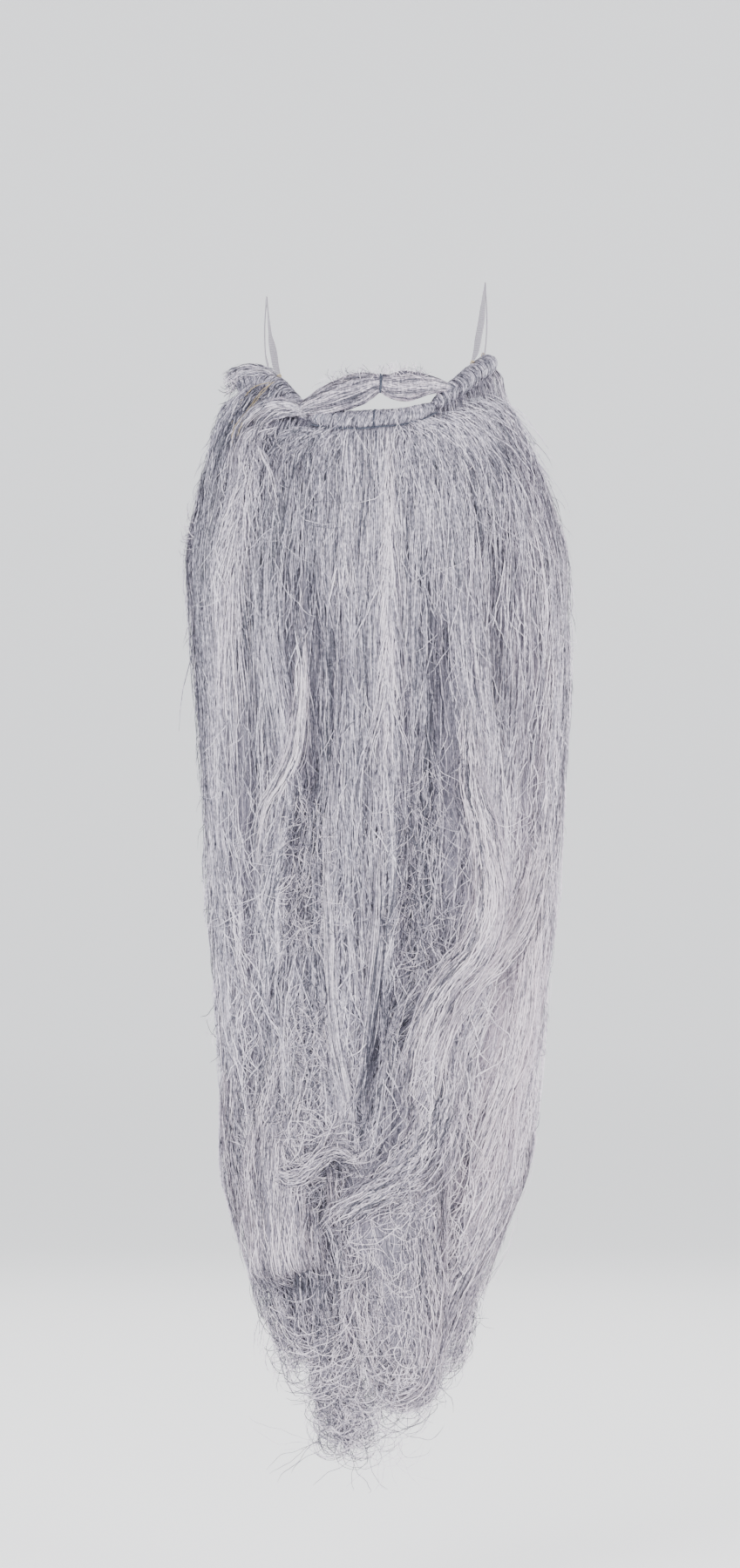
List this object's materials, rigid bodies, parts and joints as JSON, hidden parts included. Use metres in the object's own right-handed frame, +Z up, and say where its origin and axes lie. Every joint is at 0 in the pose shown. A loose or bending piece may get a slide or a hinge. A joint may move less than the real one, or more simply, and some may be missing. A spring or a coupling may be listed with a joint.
{
  "type": "false beard with moustache and ear loops",
  "caption": "Long costume beard of straight grey hair with wound cheek and lip rolls, a tied moustache and elastic ear loops.",
  "frame": {"origin": "where the front of the wearer's chin rests against the inside of the hair, on the middle plane", "axes": "+Z up along the wearer's face, -Y the way the wearer looks, +X towards the wearer's left ear"},
  "size_m": [0.259, 0.1687, 0.8134],
  "materials": {
    "hair": "fine straight synthetic hair, mixed grey",
    "wound_hair": "synthetic hair wound round a cord",
    "thread": "dark sewing thread",
    "elastic": "white woven elastic"
  },
  "bodies": {
    "root": {"beard_fall": "hair", "cheek_roll_right": "wound_hair", "lip_roll": "wound_hair", "cheek_roll_left": "wound_hair", "moustache": "hair", "moustache_tie": "thread", "lip_tie": "thread", "ear_loop_right": "elastic", "ear_loop_left": "elastic"}
  },
  "joints": []
}
